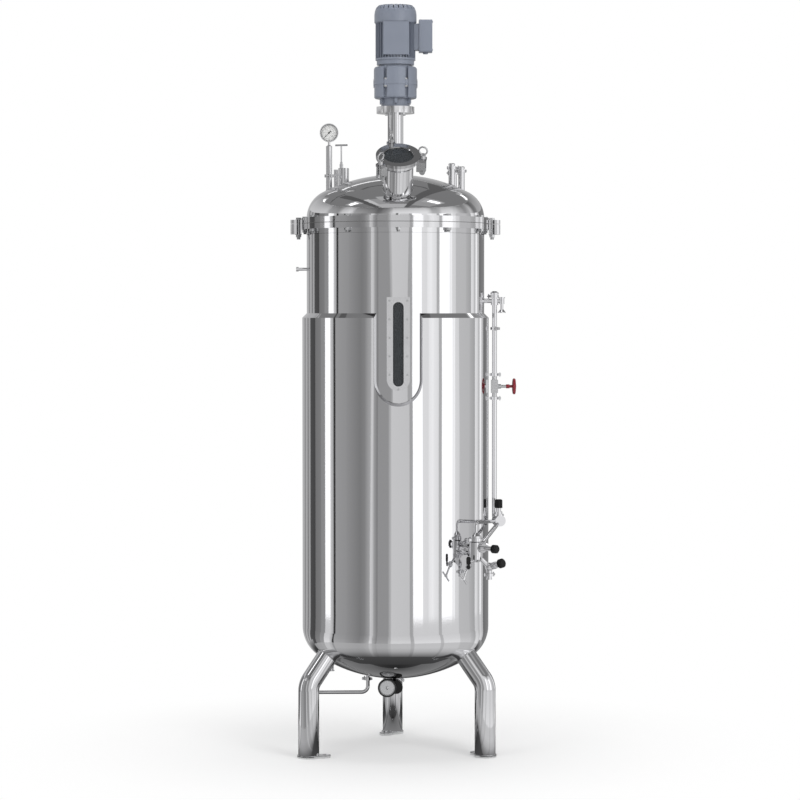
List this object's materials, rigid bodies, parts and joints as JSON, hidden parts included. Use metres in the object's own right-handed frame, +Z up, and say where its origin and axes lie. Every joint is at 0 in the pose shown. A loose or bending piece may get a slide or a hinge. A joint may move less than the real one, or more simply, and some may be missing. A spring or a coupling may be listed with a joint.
{
  "type": "pilot bioreactor vessel",
  "caption": "Jacketed steel fermentation vessel on three bent legs, with a domed bolted lid, sight window, slanted handhole, top agitator drive and side sampling valves.",
  "frame": {"origin": "on the floor, on the vessel's vertical axis, at the centre of the circle of anchor holes", "axes": "+Z up along the vessel's axis, +X to the right seen from the sight window, -Y towards the viewer in front of the window"},
  "size_m": [0.8955, 0.9024, 2.9532],
  "materials": {
    "polished_steel": "mirror polished stainless steel",
    "satin_steel": "satin stainless steel",
    "bolt_steel": "machined stainless steel",
    "gasket": "white elastomer",
    "drive_paint": "blue-grey enamel",
    "fan": "moulded",
    "sight_glass": "clear, dark behind",
    "lens": "clear",
    "needle": "matt black",
    "red_paint": "dark red enamel",
    "black_plastic": "moulded black"
  },
  "bodies": {
    "vessel": {"vessel_shell": "polished_steel", "jacket": "polished_steel", "body_flange": "satin_steel", "flange_gasket": "gasket", "lid_flange": "satin_steel", "lid_dome": "polished_steel", "joint_bolts": "bolt_steel", "sight_frame": "satin_steel", "sight_glass": "sight_glass", "sight_plate": "satin_steel", "sight_screws": "bolt_steel", "baffles": "polished_steel", "sparger_ring": "polished_steel", "foot_bearing": "polished_steel", "shaft_seal": "bolt_steel", "lantern": "polished_steel", "lantern_bearing": "bolt_steel", "gearbox_lower": "drive_paint", "gearbox_upper": "drive_paint", "motor_body": "drive_paint", "fan_cowl": "drive_paint", "terminal_box": "drive_paint", "terminal_cover": "drive_paint", "handhole_neck": "polished_steel", "handhole_glass": "sight_glass", "handhole_ring": "satin_steel", "pivot_pins": "bolt_steel", "gauge_stem": "polished_steel", "gauge_case": "satin_steel", "gauge_lens": "lens", "vent_valve": "polished_steel", "lid_ports": "polished_steel", "port_caps": "polished_steel", "line_clamps": "satin_steel", "feed_pipe": "polished_steel", "feed_valve": "satin_steel", "line_valve": "polished_steel", "sample_valve": "polished_steel", "outlet_valve": "polished_steel", "outlet_bonnet": "black_plastic", "drain_pipe": "polished_steel", "legs": "polished_steel", "foot_plates": "satin_steel"},
    "agitator": {"agitator_shaft": "polished_steel", "impeller_bottom": "polished_steel", "impeller_middle": "polished_steel", "impeller_top": "polished_steel", "shaft_coupling": "bolt_steel"},
    "fan": {"motor_fan": "fan"},
    "bolt_rear": {"swing_bolt_rear": "polished_steel"},
    "bolt_left": {"swing_bolt_left": "polished_steel"},
    "bolt_right": {"swing_bolt_right": "polished_steel"},
    "needle": {"gauge_needle": "needle"},
    "vent_handle": {"vent_handle": "polished_steel"},
    "feed_wheel": {"feed_handwheel": "red_paint"},
    "line_knob": {"line_knob": "black_plastic"},
    "sample_knob": {"sample_knob": "black_plastic"},
    "branch_knob": {"branch_knob": "black_plastic"},
    "sample_lever": {"sample_lever": "black_plastic"},
    "outlet_wheel": {"outlet_handwheel": "satin_steel"}
  },
  "joints": [
    {"name": "agitator_spin", "type": "hinge", "parent": "vessel", "child": "agitator", "pos_m": [0, 0, 1.5], "axis": [0, 0, 1], "continuous": true},
    {"name": "fan_spin", "type": "hinge", "parent": "vessel", "child": "fan", "pos_m": [0, 0, 2.90517], "axis": [0, 0, 1], "continuous": true},
    {"name": "bolt_rear_swing", "type": "hinge", "parent": "vessel", "child": "bolt_rear", "pos_m": [-0.0251, -0.25733, 2.34895], "axis": [-0.9659, -0.2146, -0.1447], "range_deg": [0, 95]},
    {"name": "bolt_left_swing", "type": "hinge", "parent": "vessel", "child": "bolt_left", "pos_m": [-0.06859, -0.39187, 2.25821], "axis": [0.7071, -0.5862, -0.3954], "range_deg": [0, 95]},
    {"name": "bolt_right_swing", "type": "hinge", "parent": "vessel", "child": "bolt_right", "pos_m": [0.0937, -0.35582, 2.28252], "axis": [0.2588, 0.8008, 0.5401], "range_deg": [0, 95]},
    {"name": "needle_sweep", "type": "hinge", "parent": "vessel", "child": "needle", "pos_m": [-0.263, 0, 2.45117], "axis": [0, 1, 0], "range_deg": [0, 270]},
    {"name": "vent_handle_turn", "type": "hinge", "parent": "vessel", "child": "vent_handle", "pos_m": [-0.214, 0.04, 2.405], "axis": [0, 0, 1], "range_deg": [0, 540]},
    {"name": "feed_wheel_turn", "type": "hinge", "parent": "vessel", "child": "feed_wheel", "pos_m": [0.46505, 0, 1.447], "axis": [1, 0, 0], "range_deg": [0, 900]},
    {"name": "line_knob_turn", "type": "hinge", "parent": "vessel", "child": "line_knob", "pos_m": [0.40841, -0.03947, 0.965], "axis": [0, 0, 1], "range_deg": [0, 540]},
    {"name": "sample_knob_turn", "type": "hinge", "parent": "vessel", "child": "sample_knob", "pos_m": [0.36487, -0.36487, 0.831], "axis": [0.7071, -0.7071, 0], "range_deg": [0, 540]},
    {"name": "branch_knob_turn", "type": "hinge", "parent": "vessel", "child": "branch_knob", "pos_m": [0.35497, -0.29274, 0.755], "axis": [0.6797, -0.6797, 0.2756], "range_deg": [0, 540]},
    {"name": "sample_lever_turn", "type": "hinge", "parent": "vessel", "child": "sample_lever", "pos_m": [0.27082, -0.33446, 0.76], "axis": [0, -1, 0], "range_deg": [0, 90]},
    {"name": "outlet_wheel_turn", "type": "hinge", "parent": "vessel", "child": "outlet_wheel", "pos_m": [-0.036, -0.036, 0.25943], "axis": [0, -1, 0], "range_deg": [0, 900]}
  ],
  "couplings": [
    {"joint": "fan_spin", "follows": "agitator_spin", "ratio": 10}
  ]
}
